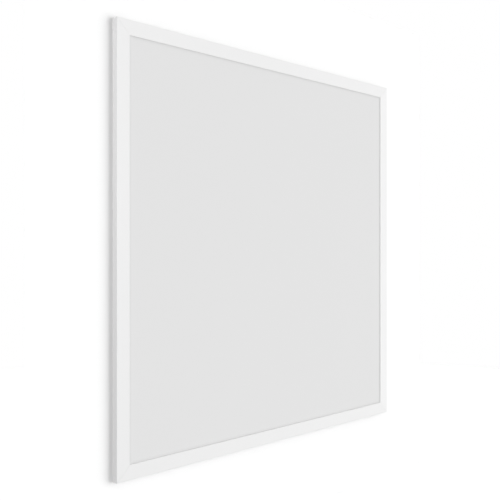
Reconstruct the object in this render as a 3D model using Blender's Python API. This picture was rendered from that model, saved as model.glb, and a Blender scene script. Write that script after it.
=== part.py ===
"""Edge-lit LED ceiling panel: a mitred frame, the sheets it clamps and a driver case on its back.

Metres, +Z up. The panel stands upright and shines towards -Y. The origin is the centre of the
frame's front plane, which is the plane of the ceiling that the panel lies in.
"""

import math

import bmesh
import bpy
from mathutils import Matrix, Vector

MM = 0.001

# Frame extrusion: a front lip, an outer wall, a hollow channel and the shelf that closes it
PANEL_SIDE = 595.0 * MM
LIP_WIDTH = 20.0 * MM
LIP_THICKNESS = 1.2 * MM
FRAME_WALL = 1.2 * MM
CHANNEL_WIDTH = 6.8 * MM
SHELF_THICKNESS = 1.2 * MM
RIM_HEIGHT = 0.65 * MM
FRONT_EDGE_RADIUS = 0.6 * MM
LIP_EDGE_RADIUS = 0.3 * MM
MITRE_GAP = 0.1 * MM

# Sheets between the lip and the rear cover, front to back
SHEET_GAP = 0.15 * MM
DIFFUSER_THICKNESS = 1.2 * MM
GUIDE_THICKNESS = 3.0 * MM
REFLECTOR_THICKNESS = 0.3 * MM
FOAM_THICKNESS = 1.3 * MM
COVER_THICKNESS = 0.6 * MM
EDGE_PLAY = 0.5 * MM
WIRE_CHANNEL = 6.6 * MM

# LED boards on the left and right rails
TAPE_THICKNESS = 0.2 * MM
BOARD_THICKNESS = 1.0 * MM
BOARD_EDGE_GAP = 0.4 * MM
BOARD_END_GAP = 1.0 * MM
LED_COUNT = 48
LED_LENGTH = 3.0 * MM
LED_WIDTH = 2.4 * MM
LED_HEIGHT = 0.8 * MM
LED_TO_GUIDE = 0.4 * MM
LED_END_MARGIN = 9.0 * MM

# Corner keys and the screws that hold the rear cover
FIT = 0.3 * MM
KEY_LEG = 42.0 * MM
KEY_NOSE = 2.0 * MM
SCREW_CORNER_INSET = 26.0 * MM
SCREW_MIDDLE_SPACING = 240.0 * MM
SCREW_SHANK_RADIUS = 1.4 * MM
SCREW_HEAD_RADIUS = 2.8 * MM
SCREW_HEAD_HEIGHT = 1.3 * MM
SCREW_POINT = 1.2 * MM
COVER_SCREW_TIP = 2.0 * MM

# Driver case
CASE_LENGTH = 186.0 * MM
CASE_WIDTH = 44.0 * MM
CASE_HEIGHT = 24.0 * MM
CASE_WALL = 1.8 * MM
CASE_CORNER = 3.0 * MM
CASE_TOP_INSET = 4.5 * MM
TRAY_HEIGHT = 14.0 * MM
TONGUE_DEPTH = 2.0 * MM
TONGUE_THICKNESS = 1.2 * MM
BAY_LENGTH = 46.0 * MM
EAR_LENGTH = 14.0 * MM
EAR_WIDTH = 14.0 * MM
EAR_THICKNESS = 2.4 * MM
EAR_CORNER = 3.0 * MM
EAR_OFFSET = 13.0 * MM
PAD_HEIGHT = 2.4 * MM
PAD_TOP_RADIUS = 5.0 * MM
PAD_BASE_RADIUS = 7.5 * MM

# Terminal lid
BARREL_RADIUS = 3.0 * MM
BARREL_GAP = 0.4 * MM
CHEEK_LENGTH = 8.0 * MM
STUB_RADIUS = 1.5 * MM
HINGE_CHAMFER = 2.5 * MM
TAB_WIDTH = 12.0 * MM
TAB_REACH = 1.5 * MM

# Driver board and what it carries
POST_RADIUS = 2.5 * MM
POST_HEIGHT = 3.0 * MM
PIN_RADIUS = 1.0 * MM
PIN_HEIGHT = 2.4 * MM
POST_INSET = 4.5 * MM
CIRCUIT_THICKNESS = 1.6 * MM
CIRCUIT_MARGIN = 1.0 * MM
BLOCK_LENGTH = 20.0 * MM
BLOCK_HEIGHT = 12.0 * MM
POLE_COUNT = 3
POLE_PITCH = 8.0 * MM
WIRE_HOLE_RADIUS = 1.7 * MM
WIRE_HOLE_DEPTH = 9.0 * MM
WIRE_HOLE_HEIGHT = 4.0 * MM
FUNNEL_DEPTH = 0.7 * MM
BUTTON_SIDE = 4.4 * MM
BUTTON_HEIGHT = 4.0 * MM
BUTTON_RISE = 1.8 * MM
BUTTON_TRAVEL = 1.2 * MM
BUTTON_SETBACK = 6.0 * MM
TRANSFORMER_LENGTH = 26.0 * MM
TRANSFORMER_HEIGHT = 13.0 * MM
CORE_DEPTH = 9.0 * MM
CORE_LIMB = 6.0 * MM
CORE_FRAME = 3.0 * MM
BULK_CAPACITOR_RADIUS = 6.3 * MM
BULK_CAPACITOR_LENGTH = 25.0 * MM
OUTPUT_CAPACITOR_RADIUS = 5.0 * MM
OUTPUT_CAPACITOR_HEIGHT = 13.0 * MM
CHOKE_RADIUS = 5.5 * MM
CHOKE_WIRE_RADIUS = 2.6 * MM
FILM_CAPACITOR_LENGTH = 15.0 * MM
FILM_CAPACITOR_WIDTH = 6.0 * MM
FILM_CAPACITOR_HEIGHT = 11.0 * MM

# Leads and the rubber they pass through
LEAD_RADIUS = 0.6 * MM
LEAD_SPACING = 1.8 * MM
LEAD_BRIDGE_DROP = 2.2 * MM
LEAD_EXIT_INSET = 18.0 * MM
LEAD_BEND = 2.5 * MM
GROMMET_HOLE_RADIUS = 3.2 * MM
GROMMET_FLANGE_RADIUS = 4.6 * MM
GROMMET_FLANGE = 0.8 * MM
GROMMET_BORE_RADIUS = 1.9 * MM
ENTRY_HOLE_RADIUS = 4.5 * MM
ENTRY_FLANGE_RADIUS = 5.7 * MM
ENTRY_FLANGE = 1.2 * MM
ENTRY_BORE_RADIUS = 3.2 * MM
ENTRY_OFFSET = 8.0 * MM

# Depths from the front plane, worked out from the stack
DIFFUSER_FRONT = LIP_THICKNESS + SHEET_GAP
GUIDE_FRONT = DIFFUSER_FRONT + DIFFUSER_THICKNESS + SHEET_GAP
REFLECTOR_FRONT = GUIDE_FRONT + GUIDE_THICKNESS + SHEET_GAP
FOAM_FRONT = REFLECTOR_FRONT + REFLECTOR_THICKNESS + SHEET_GAP
SHELF_REAR = FOAM_FRONT + FOAM_THICKNESS
SHELF_FRONT = SHELF_REAR - SHELF_THICKNESS
COVER_FRONT = SHELF_REAR + SHEET_GAP
COVER_REAR = COVER_FRONT + COVER_THICKNESS
FRAME_DEPTH = COVER_REAR + RIM_HEIGHT

# Distances in from the frame's outer edge
HALF = PANEL_SIDE / 2
CHANNEL_INNER = FRAME_WALL + CHANNEL_WIDTH
CHANNEL_MIDDLE = FRAME_WALL + CHANNEL_WIDTH / 2
BOARD_WALL = CHANNEL_INNER + FRAME_WALL
TAPE_FACE = BOARD_WALL + SHEET_GAP
BOARD_FACE = TAPE_FACE + TAPE_THICKNESS + SHEET_GAP
LED_FACE = BOARD_FACE + BOARD_THICKNESS
SHEET_SIDE = LED_FACE + LED_HEIGHT + LED_TO_GUIDE
SHEET_BOTTOM = BOARD_WALL + EDGE_PLAY
SHEET_TOP = BOARD_WALL + WIRE_CHANNEL
COVER_EDGE = FRAME_WALL + FIT

# Driver case places: its length runs along X, its width along Z and its height along Y
CASE_BASE = COVER_REAR + SHEET_GAP
CASE_FLOOR = CASE_BASE + CASE_WALL
CASE_RIM = CASE_BASE + TRAY_HEIGHT
CASE_TOP = CASE_BASE + CASE_HEIGHT
CASE_LEFT = -CASE_LENGTH / 2
CASE_RIGHT = CASE_LENGTH / 2
CASE_MIDDLE = HALF - CASE_TOP_INSET - CASE_WIDTH / 2
BAY_START = CASE_RIGHT - BAY_LENGTH
PIVOT_X = BAY_START + BARREL_GAP + BARREL_RADIUS
PIVOT_Y = CASE_TOP - BARREL_RADIUS
EAR_BASE = COVER_REAR + PAD_HEIGHT + SHEET_GAP
EAR_SCREW_X = CASE_RIGHT + EAR_LENGTH / 2
EAR_Z = CASE_MIDDLE - EAR_OFFSET
ENTRY_Y = CASE_BASE + TRAY_HEIGHT / 2 + CASE_WALL / 2
ENTRY_Z = CASE_MIDDLE + ENTRY_OFFSET
CIRCUIT_BASE = CASE_FLOOR + POST_HEIGHT + SHEET_GAP
CIRCUIT_TOP = CIRCUIT_BASE + CIRCUIT_THICKNESS
CIRCUIT_LEFT = CASE_LEFT + CASE_WALL + CIRCUIT_MARGIN
BLOCK_LEFT = PIVOT_X + BARREL_RADIUS + BARREL_GAP
CIRCUIT_RIGHT = BLOCK_LEFT + BLOCK_LENGTH
CIRCUIT_HALF_WIDTH = CASE_WIDTH / 2 - CASE_WALL - FIT - TONGUE_THICKNESS - FIT
BLOCK_BASE = CIRCUIT_TOP + SHEET_GAP
BLOCK_TOP = BLOCK_BASE + BLOCK_HEIGHT
BLOCK_HALF_WIDTH = POLE_COUNT * POLE_PITCH / 2
BUTTON_BASE = BLOCK_TOP + BUTTON_RISE - BUTTON_HEIGHT
LEAD_EXIT_X = CASE_LEFT + CASE_WALL + LEAD_EXIT_INSET
LEAD_EXIT_Z = HALF - BOARD_WALL - WIRE_CHANNEL / 2

ROUND_STEPS = 16
SMALL_ROUND_STEPS = 12
CORNER_STEPS = 3

for old in list(bpy.data.objects):
    bpy.data.objects.remove(old)


def new_collection(name):
    made = bpy.data.collections.new(name)
    bpy.context.scene.collection.children.link(made)
    return made


PARTS = new_collection("led_panel_light")
CUTTERS = new_collection("cutters")

# The empty that carries every piece which no other piece carries
PANEL = bpy.data.objects.new("panel", None)
PARTS.objects.link(PANEL)


def finish(name, colour, roughness, metallic=0.0):
    """A plain material of one colour."""
    made = bpy.data.materials.new(name)
    made.use_nodes = True
    shader = made.node_tree.nodes["Principled BSDF"]
    shader.inputs["Base Color"].default_value = (*colour, 1.0)
    shader.inputs["Roughness"].default_value = roughness
    shader.inputs["Metallic"].default_value = metallic
    return made


FRAME_PAINT = finish("frame_paint", (0.86, 0.86, 0.86), 0.45)
OPAL_SHEET = finish("opal_sheet", (0.77, 0.77, 0.77), 0.5)
CLEAR_ACRYLIC = finish("clear_acrylic", (0.85, 0.9, 0.9), 0.05)
WHITE_FILM = finish("white_film", (0.9, 0.9, 0.9), 0.6)
PALE_FOAM = finish("pale_foam", (0.8, 0.8, 0.78), 0.95)
COVER_PAINT = finish("cover_paint", (0.8, 0.8, 0.8), 0.5)
ZINC = finish("zinc", (0.62, 0.63, 0.65), 0.35, 1.0)
BOARD_WHITE = finish("board_white", (0.85, 0.85, 0.82), 0.4)
HEAT_TAPE = finish("heat_tape", (0.7, 0.72, 0.75), 0.8)
CASE_PLASTIC = finish("case_plastic", (0.82, 0.82, 0.81), 0.45)
BLOCK_PLASTIC = finish("block_plastic", (0.45, 0.46, 0.47), 0.5)
BUTTON_PLASTIC = finish("button_plastic", (0.85, 0.33, 0.05), 0.4)
BLACK_RUBBER = finish("black_rubber", (0.03, 0.03, 0.03), 0.8)
CIRCUIT_GREEN = finish("circuit_green", (0.05, 0.22, 0.1), 0.4)
FERRITE = finish("ferrite", (0.07, 0.07, 0.075), 0.6)
COIL_TAPE = finish("coil_tape", (0.75, 0.62, 0.12), 0.4)
CAPACITOR_SLEEVE = finish("capacitor_sleeve", (0.03, 0.04, 0.08), 0.35)
FILM_BOX = finish("film_box", (0.6, 0.5, 0.12), 0.4)
COPPER_WIRE = finish("copper_wire", (0.72, 0.32, 0.14), 0.35, 1.0)
RED_LEAD = finish("red_lead", (0.6, 0.03, 0.03), 0.5)
BLACK_LEAD = finish("black_lead", (0.02, 0.02, 0.02), 0.5)
WHITE_LEAD = finish("white_lead", (0.8, 0.8, 0.8), 0.5)


# Shapes


def add_block(bm, low, high):
    """A box between two corners."""
    size = Vector(high) - Vector(low)
    middle = (Vector(high) + Vector(low)) / 2
    bmesh.ops.create_cube(bm, size=1.0, matrix=Matrix.Translation(middle) @ Matrix.Diagonal((*size, 1.0)))


def add_round(bm, start, end, radius, end_radius=None, steps=ROUND_STEPS):
    """A cylinder, or a cone where end_radius is given, from one point to another."""
    along = Vector(end) - Vector(start)
    turn = along.to_track_quat("Z", "Y").to_matrix().to_4x4()
    bmesh.ops.create_cone(
        bm,
        cap_ends=True,
        segments=steps,
        radius1=radius,
        radius2=radius if end_radius is None else end_radius,
        depth=along.length,
        matrix=Matrix.Translation((Vector(start) + Vector(end)) / 2) @ turn,
    )


def arc(centre, radius, start, end, steps=CORNER_STEPS):
    """Points on an arc from one angle to another, in degrees, both ends included."""
    angles = [math.radians(start + (end - start) * step / steps) for step in range(steps + 1)]
    return [(centre[0] + radius * math.cos(a), centre[1] + radius * math.sin(a)) for a in angles]


def flat_outline(outlines, thickness):
    """A mesh of flat closed outlines, holes among them, of that thickness about the XY plane."""
    curve = bpy.data.curves.new("outline", "CURVE")
    curve.dimensions = "2D"
    curve.fill_mode = "BOTH"
    curve.extrude = thickness / 2
    for points in outlines:
        spline = curve.splines.new("POLY")
        spline.points.add(len(points) - 1)
        spline.use_cyclic_u = True
        for knot, point in zip(spline.points, points):
            knot.co = (*point, 0.0, 1.0)
    return welded_mesh(curve)


def welded_mesh(curve):
    """A closed bmesh of a curve, whose caps are loose until they are merged."""
    holder = bpy.data.objects.new("holder", curve)
    bpy.context.scene.collection.objects.link(holder)
    evaluated = holder.evaluated_get(bpy.context.evaluated_depsgraph_get())
    mesh = bpy.data.meshes.new_from_object(evaluated)
    bpy.data.objects.remove(holder)
    bpy.data.curves.remove(curve)
    bm = bmesh.new()
    bm.from_mesh(mesh)
    bpy.data.meshes.remove(mesh)
    bmesh.ops.remove_doubles(bm, verts=bm.verts, dist=0.001 * MM)
    bmesh.ops.recalc_face_normals(bm, faces=bm.faces)
    return bm


def turned_mesh(name, profile, steps=ROUND_STEPS):
    """A mesh turned about Z from (radius, height) points that run down the outer side."""
    bm = bmesh.new()
    points = [bm.verts.new((radius, 0.0, height)) for radius, height in profile]
    for first, second in zip(points, points[1:]):
        bm.edges.new((first, second))
    bmesh.ops.spin(
        bm,
        geom=bm.verts[:] + bm.edges[:],
        axis=(0, 0, 1),
        cent=(0, 0, 0),
        angle=math.tau,
        steps=steps,
        use_merge=True,
    )
    bmesh.ops.remove_doubles(bm, verts=bm.verts, dist=0.001 * MM)
    bmesh.ops.recalc_face_normals(bm, faces=bm.faces)
    return to_mesh(bm, name)


# Objects


def to_mesh(bm, name):
    mesh = bpy.data.meshes.new(name)
    bm.to_mesh(mesh)
    bm.free()
    return mesh


def place(name, mesh, material, location=(0, 0, 0), rotation=(0, 0, 0), carrier=PANEL):
    """One named piece, placed from its carrier. A shared mesh keeps the material it got first."""
    if not mesh.materials:
        mesh.materials.append(material)
    piece = bpy.data.objects.new(name, mesh)
    piece.parent = carrier
    piece.location = location
    piece.rotation_euler = rotation
    PARTS.objects.link(piece)
    return piece


def piece_of(name, bm, material, location=(0, 0, 0), rotation=(0, 0, 0), carrier=PANEL):
    return place(name, to_mesh(bm, name), material, location, rotation, carrier)


def tool_of(name, bm, location=(0, 0, 0), carrier=PANEL):
    """A shape that only cuts or joins a piece. A moving piece carries its own tools."""
    tool = bpy.data.objects.new(name, to_mesh(bm, name))
    tool.parent = carrier
    tool.location = location
    tool.hide_render = True
    tool.display_type = "WIRE"
    CUTTERS.objects.link(tool)
    return tool


def boolean(piece, tool, operation):
    step = piece.modifiers.new(tool.name, "BOOLEAN")
    step.operation = operation
    step.object = tool
    step.solver = "EXACT"


def cut(piece, *tools):
    for tool in tools:
        boolean(piece, tool, "DIFFERENCE")


def join(piece, *tools):
    for tool in tools:
        boolean(piece, tool, "UNION")


def shade_round(mesh, angle=35):
    mesh.shade_smooth()
    mesh.set_sharp_from_angle(angle=math.radians(angle))


# Frame


def rail_outlines():
    """Section of the extrusion as (distance in from the outer edge, depth), and its channel."""
    lip, edge = LIP_EDGE_RADIUS, FRONT_EDGE_RADIUS
    section = [
        *arc((LIP_WIDTH - lip, lip), lip, 0, -90),
        *arc((edge, edge), edge, 270, 180),
        *arc((lip, FRAME_DEPTH - lip), lip, 180, 90),
        (FRAME_WALL, FRAME_DEPTH),
        (FRAME_WALL, SHELF_REAR),
        (BOARD_WALL, SHELF_REAR),
        (BOARD_WALL, LIP_THICKNESS),
        (LIP_WIDTH, LIP_THICKNESS),
    ]
    channel = [
        (FRAME_WALL, LIP_THICKNESS),
        (FRAME_WALL, SHELF_FRONT),
        (CHANNEL_INNER, SHELF_FRONT),
        (CHANNEL_INNER, LIP_THICKNESS),
    ]
    return section, channel


def rail_mesh():
    """A rail along X with its outer edge on Z = 0 and both ends cut to 45 degrees."""
    bm = flat_outline(rail_outlines(), PANEL_SIDE)
    bmesh.ops.rotate(bm, verts=bm.verts, matrix=Matrix.Rotation(math.pi / 2, 3, "Y"))
    for corner in bm.verts:
        corner.co.x = math.copysign(HALF - MITRE_GAP + corner.co.z, corner.co.x)
    return to_mesh(bm, "rail")


def quarter_turns():
    """The four turns about Y that carry the top rail to the right, the bottom and the left."""
    return [step * math.pi / 2 for step in range(4)]


def screw_places():
    """(X, Z) of every cover screw: along each rail, over the middle of its channel."""
    corner = HALF - SCREW_CORNER_INSET
    middle = SCREW_MIDDLE_SPACING / 2
    edge = HALF - CHANNEL_MIDDLE
    found = []
    for turn in quarter_turns():
        for along in (-corner, -middle, middle, corner):
            spot = Matrix.Rotation(turn, 3, "Y") @ Vector((along, 0, edge))
            found.append((spot.x, spot.z))
    return found


def screw_drill():
    """One tool that drills cover, shelf and corner keys in line for the cover screws."""
    bm = bmesh.new()
    for x, z in screw_places():
        add_round(
            bm,
            (x, LIP_THICKNESS + SHEET_GAP, z),
            (x, FRAME_DEPTH + FIT, z),
            SCREW_SHANK_RADIUS + FIT,
            steps=SMALL_ROUND_STEPS,
        )
    return tool_of("screw_drill", bm)


def make_frame(drill):
    names = ("top_rail", "right_rail", "bottom_rail", "left_rail")
    mesh = rail_mesh()
    for name, turn in zip(names, quarter_turns()):
        at = (HALF * math.sin(turn), 0, HALF * math.cos(turn))
        cut(place(name, mesh, FRAME_PAINT, at, (0, turn, 0)), drill)


def key_mesh():
    """An L that slides into two channels, measured in from the frame's outer corner."""
    near, far = FRAME_WALL + FIT, CHANNEL_INNER - FIT
    outline = [
        (near + KEY_NOSE, near),
        (KEY_LEG, near),
        (KEY_LEG, far),
        (far, far),
        (far, KEY_LEG),
        (near, KEY_LEG),
        (near, near + KEY_NOSE),
    ]
    front, back = LIP_THICKNESS + FIT, SHELF_FRONT - FIT
    bm = flat_outline([[(HALF - x, HALF - z) for x, z in outline]], back - front)
    bmesh.ops.rotate(bm, verts=bm.verts, matrix=Matrix.Rotation(math.pi / 2, 3, "X"))
    bmesh.ops.translate(bm, verts=bm.verts, vec=(0, (front + back) / 2, 0))
    return to_mesh(bm, "corner_key")


def make_corner_keys(drill):
    names = ("top_right", "bottom_right", "bottom_left", "top_left")
    mesh = key_mesh()
    for name, turn in zip(names, quarter_turns()):
        cut(place(f"corner_key_{name}", mesh, ZINC, (0, 0, 0), (0, turn, 0)), drill)


# Sheets


def make_sheet(name, front, thickness, material):
    """A sheet that stands on the bottom rail and leaves the wire channel free above it."""
    bm = bmesh.new()
    low = (SHEET_SIDE - HALF, front, SHEET_BOTTOM - HALF)
    high = (HALF - SHEET_SIDE, front + thickness, HALF - SHEET_TOP)
    add_block(bm, low, high)
    return piece_of(name, bm, material)


def make_sheets():
    make_sheet("diffuser", DIFFUSER_FRONT, DIFFUSER_THICKNESS, OPAL_SHEET)
    make_sheet("light_guide", GUIDE_FRONT, GUIDE_THICKNESS, CLEAR_ACRYLIC)
    make_sheet("reflector_film", REFLECTOR_FRONT, REFLECTOR_THICKNESS, WHITE_FILM)
    make_sheet("foam_backing", FOAM_FRONT, FOAM_THICKNESS, PALE_FOAM)


def pad_places():
    """(X, Z) of the two pads pressed into the cover under the case's ears."""
    return [(-EAR_SCREW_X, EAR_Z), (EAR_SCREW_X, EAR_Z)]


def make_rear_cover(drill):
    """Painted sheet steel with two pressed pads, drilled for its screws and for the leads."""
    edge = HALF - COVER_EDGE
    sheet, pads, hollows, holes = (bmesh.new() for _ in range(4))
    add_block(sheet, (-edge, COVER_FRONT, -edge), (edge, COVER_REAR, edge))
    for x, z in pad_places():
        inside = COVER_FRONT + PAD_HEIGHT
        add_round(pads, (x, COVER_FRONT, z), (x, COVER_REAR + PAD_HEIGHT, z), PAD_BASE_RADIUS, PAD_TOP_RADIUS)
        add_round(
            hollows,
            (x, COVER_FRONT - FIT, z),
            (x, inside, z),
            PAD_BASE_RADIUS - COVER_THICKNESS,
            PAD_TOP_RADIUS - COVER_THICKNESS,
        )
        add_round(holes, (x, inside - FIT, z), (x, EAR_BASE, z), SCREW_SHANK_RADIUS + FIT)
    add_round(
        holes,
        (LEAD_EXIT_X, COVER_FRONT - FIT, LEAD_EXIT_Z),
        (LEAD_EXIT_X, COVER_REAR + FIT, LEAD_EXIT_Z),
        GROMMET_HOLE_RADIUS,
    )
    cover = piece_of("rear_cover", sheet, COVER_PAINT)
    join(cover, tool_of("cover_pads", pads))
    cut(cover, tool_of("cover_pad_hollows", hollows), tool_of("cover_holes", holes), drill)


# LED boards


def make_led_board(name, side):
    """A metal-core strip on the rail's inner wall with its row of LEDs facing the light guide."""
    front, back = LIP_THICKNESS + BOARD_EDGE_GAP, COVER_FRONT - BOARD_EDGE_GAP
    half_length = HALF - BOARD_WALL - BOARD_END_GAP
    strip, leds = bmesh.new(), bmesh.new()
    wall, face = sorted((side * (HALF - BOARD_FACE), side * (HALF - LED_FACE)))
    add_block(strip, (wall, front, -half_length), (face, back, half_length))
    first = SHEET_BOTTOM - HALF + LED_END_MARGIN
    last = HALF - SHEET_TOP - LED_END_MARGIN
    middle = GUIDE_FRONT + GUIDE_THICKNESS / 2
    root = LED_FACE - BOARD_THICKNESS / 2
    near, far = sorted((side * (HALF - root), side * (HALF - LED_FACE - LED_HEIGHT)))
    for number in range(LED_COUNT):
        z = first + (last - first) * number / (LED_COUNT - 1)
        add_block(
            leds,
            (near, middle - LED_WIDTH / 2, z - LED_LENGTH / 2),
            (far, middle + LED_WIDTH / 2, z + LED_LENGTH / 2),
        )
    join(piece_of(f"led_board_{name}", strip, BOARD_WHITE), tool_of(f"leds_{name}", leds))

    tape = bmesh.new()
    wall, face = sorted((side * (HALF - TAPE_FACE), side * (HALF - TAPE_FACE - TAPE_THICKNESS)))
    add_block(tape, (wall, front, -half_length), (face, back, half_length))
    piece_of(f"heat_tape_{name}", tape, HEAT_TAPE)


# Screws


def screw_mesh(name, shank):
    """A pan-head screw along Z with the underside of its head at Z = 0."""
    flat = SCREW_HEAD_RADIUS * 0.55
    profile = [
        (0.0, SCREW_HEAD_HEIGHT),
        (flat, SCREW_HEAD_HEIGHT),
        (SCREW_HEAD_RADIUS, SCREW_HEAD_HEIGHT * 0.4),
        (SCREW_HEAD_RADIUS, 0.0),
        (SCREW_SHANK_RADIUS, 0.0),
        (SCREW_SHANK_RADIUS, SCREW_POINT - shank),
        (0.0, -shank),
    ]
    mesh = turned_mesh(name, profile, SMALL_ROUND_STEPS)
    shade_round(mesh)
    return mesh


def make_screws():
    """Heads face the back, so the screws' Z runs along the panel's Y."""
    turn = (-math.pi / 2, 0, 0)
    seat = COVER_REAR + SHEET_GAP
    mesh = screw_mesh("cover_screw", seat - COVER_SCREW_TIP)
    for number, (x, z) in enumerate(screw_places(), start=1):
        place(f"cover_screw_{number:02d}", mesh, ZINC, (x, seat, z), turn)
    seat = EAR_BASE + EAR_THICKNESS + SHEET_GAP
    mesh = screw_mesh("case_screw", seat - COVER_FRONT)
    for number, (x, z) in enumerate(pad_places(), start=1):
        place(f"case_screw_{number}", mesh, ZINC, (x, seat, z), turn)


# Driver case


def soft_block(low, high, radius, rounds_top=False):
    """A box with its edges along Y rounded, and those about its +Y face where asked."""
    bm = bmesh.new()
    add_block(bm, low, high)
    middle = (low[1] + high[1]) / 2
    edges = []
    for edge in bm.edges:
        ends_above = sum(corner.co.y > middle for corner in edge.verts)
        if ends_above == 1 or (rounds_top and ends_above == 2):
            edges.append(edge)
    bmesh.ops.bevel(
        bm,
        geom=edges,
        offset=radius,
        offset_type="OFFSET",
        segments=CORNER_STEPS,
        profile=0.5,
        affect="EDGES",
    )
    return bm


def case_box(inset, low_y, high_y, right=CASE_RIGHT):
    """Two corners of a box set in from the case's sides, whole or up to a place along it."""
    half = CASE_WIDTH / 2 - inset
    return (CASE_LEFT + inset, low_y, CASE_MIDDLE - half), (right, high_y, CASE_MIDDLE + half)


def upper_shell():
    """Outside of the case above the tray, which the cover and the lid share."""
    return soft_block(*case_box(0, CASE_RIM + FIT, CASE_TOP), CASE_CORNER, rounds_top=True)


def post_places():
    """(X, Z) of the tray's four posts, under the circuit board's corners."""
    left, right = CIRCUIT_LEFT + POST_INSET, BAY_START - POST_INSET
    reach = CIRCUIT_HALF_WIDTH - POST_INSET
    return [(x, CASE_MIDDLE + side * reach) for x in (left, right) for side in (-1, 1)]


def tray_posts():
    """Posts with a shoulder under the circuit board and a pin through it."""
    bm = bmesh.new()
    root, shoulder = CASE_FLOOR - CASE_WALL / 2, CASE_FLOOR + POST_HEIGHT
    for x, z in post_places():
        add_round(bm, (x, root, z), (x, shoulder, z), POST_RADIUS, steps=SMALL_ROUND_STEPS)
    return tool_of("tray_posts", bm)


def tray_pins():
    bm = bmesh.new()
    shoulder = CASE_FLOOR + POST_HEIGHT
    for x, z in post_places():
        add_round(
            bm,
            (x, shoulder - POST_HEIGHT / 2, z),
            (x, shoulder + PIN_HEIGHT, z),
            PIN_RADIUS,
            steps=SMALL_ROUND_STEPS,
        )
    return tool_of("tray_pins", bm)


def tray_ears():
    """Tabs with rounded ends at both end walls that reach over the pads of the rear cover."""
    ears = []
    root = CASE_RIGHT - CASE_WALL - EAR_CORNER
    for name, side in (("left", -1), ("right", 1)):
        near, far = sorted((side * root, side * (CASE_RIGHT + EAR_LENGTH)))
        ear = soft_block(
            (near, EAR_BASE, EAR_Z - EAR_WIDTH / 2),
            (far, EAR_BASE + EAR_THICKNESS, EAR_Z + EAR_WIDTH / 2),
            EAR_CORNER,
        )
        ears.append(tool_of(f"tray_ear_{name}", ear))
    return ears


def tray_holes():
    """Holes for the ear screws, for the leads from the panel and for the supply cable."""
    bm = bmesh.new()
    for x, z in pad_places():
        add_round(
            bm,
            (x, EAR_BASE - FIT, z),
            (x, EAR_BASE + EAR_THICKNESS + FIT, z),
            SCREW_SHANK_RADIUS + FIT,
        )
    add_round(
        bm,
        (LEAD_EXIT_X, CASE_BASE - FIT, LEAD_EXIT_Z),
        (LEAD_EXIT_X, CASE_FLOOR + FIT, LEAD_EXIT_Z),
        GROMMET_FLANGE_RADIUS + FIT,
    )
    add_round(
        bm,
        (CASE_RIGHT - CASE_WALL - FIT, ENTRY_Y, ENTRY_Z),
        (CASE_RIGHT + FIT, ENTRY_Y, ENTRY_Z),
        ENTRY_HOLE_RADIUS,
    )
    return tool_of("tray_holes", bm)


def make_case_tray():
    """The moulded base of the case, screwed by its ears to the rear cover."""
    tray = piece_of("case_tray", soft_block(*case_box(0, CASE_BASE, CASE_RIM), CASE_CORNER), CASE_PLASTIC)
    inside = case_box(CASE_WALL, CASE_FLOOR, CASE_RIM + FIT, CASE_RIGHT - CASE_WALL)
    join(tray, *tray_ears())
    cut(tray, tool_of("tray_hollow", soft_block(*inside, CASE_CORNER - CASE_WALL)))
    join(tray, tray_posts(), tray_pins())
    cut(tray, tray_holes())


def make_case_cover():
    """The shell over the electronics, with two cheeks that carry the lid's stubs."""
    cover = piece_of("case_cover", upper_shell(), CASE_PLASTIC)
    seam, cheek_end = CASE_RIM + FIT, BAY_START + CHEEK_LENGTH
    barrier, throat, hollow, bay, holes = (bmesh.new() for _ in range(5))

    ledge = seam + TONGUE_THICKNESS
    tongue = soft_block(
        *case_box(CASE_WALL + FIT, CASE_RIM - TONGUE_DEPTH, ledge, BAY_START), CASE_CORNER - CASE_WALL
    )
    inset = CASE_WALL + FIT + TONGUE_THICKNESS
    room_end = BAY_START - CASE_WALL
    add_block(throat, *case_box(inset, CIRCUIT_TOP + FIT, ledge + FIT, room_end))
    add_block(hollow, *case_box(CASE_WALL, ledge, CASE_TOP - CASE_WALL, room_end))
    low, high = case_box(inset, CIRCUIT_TOP + FIT, ledge, BAY_START)
    add_block(barrier, (room_end, low[1], low[2]), high)

    half = CASE_WIDTH / 2 - CASE_WALL
    add_block(
        bay,
        (BAY_START, CASE_RIM - TONGUE_DEPTH, CASE_MIDDLE - half),
        (CASE_RIGHT + FIT, CASE_TOP + FIT, CASE_MIDDLE + half),
    )
    above = CASE_TOP + CASE_WALL
    beyond = flat_outline(
        [
            [
                (cheek_end, CASE_RIM),
                *arc((PIVOT_X, PIVOT_Y), cheek_end - PIVOT_X, 0, 80, 2 * CORNER_STEPS),
                (CASE_RIGHT + FIT, above),
                (CASE_RIGHT + FIT, CASE_RIM),
            ]
        ],
        2 * CASE_WIDTH,
    )
    chamfer = flat_outline(
        [
            [
                (BAY_START - HINGE_CHAMFER - CASE_WALL, above),
                (BAY_START + CASE_WALL, above),
                (BAY_START + CASE_WALL, CASE_TOP - HINGE_CHAMFER - CASE_WALL),
            ]
        ],
        2 * half - FIT,
    )
    add_round(
        holes,
        (PIVOT_X, PIVOT_Y, CASE_MIDDLE - CASE_WIDTH),
        (PIVOT_X, PIVOT_Y, CASE_MIDDLE + CASE_WIDTH),
        STUB_RADIUS + FIT,
    )
    middle = (0, 0, CASE_MIDDLE)
    join(cover, tool_of("cover_tongue", tongue))
    cut(cover, tool_of("cover_throat", throat), tool_of("cover_hollow", hollow))
    cut(cover, tool_of("bay_gap", bay), tool_of("cheek_ends", beyond, middle))
    join(cover, tool_of("cover_barrier", barrier))
    cut(cover, tool_of("hinge_chamfer", chamfer, middle), tool_of("stub_holes", holes))
    return cover


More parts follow.
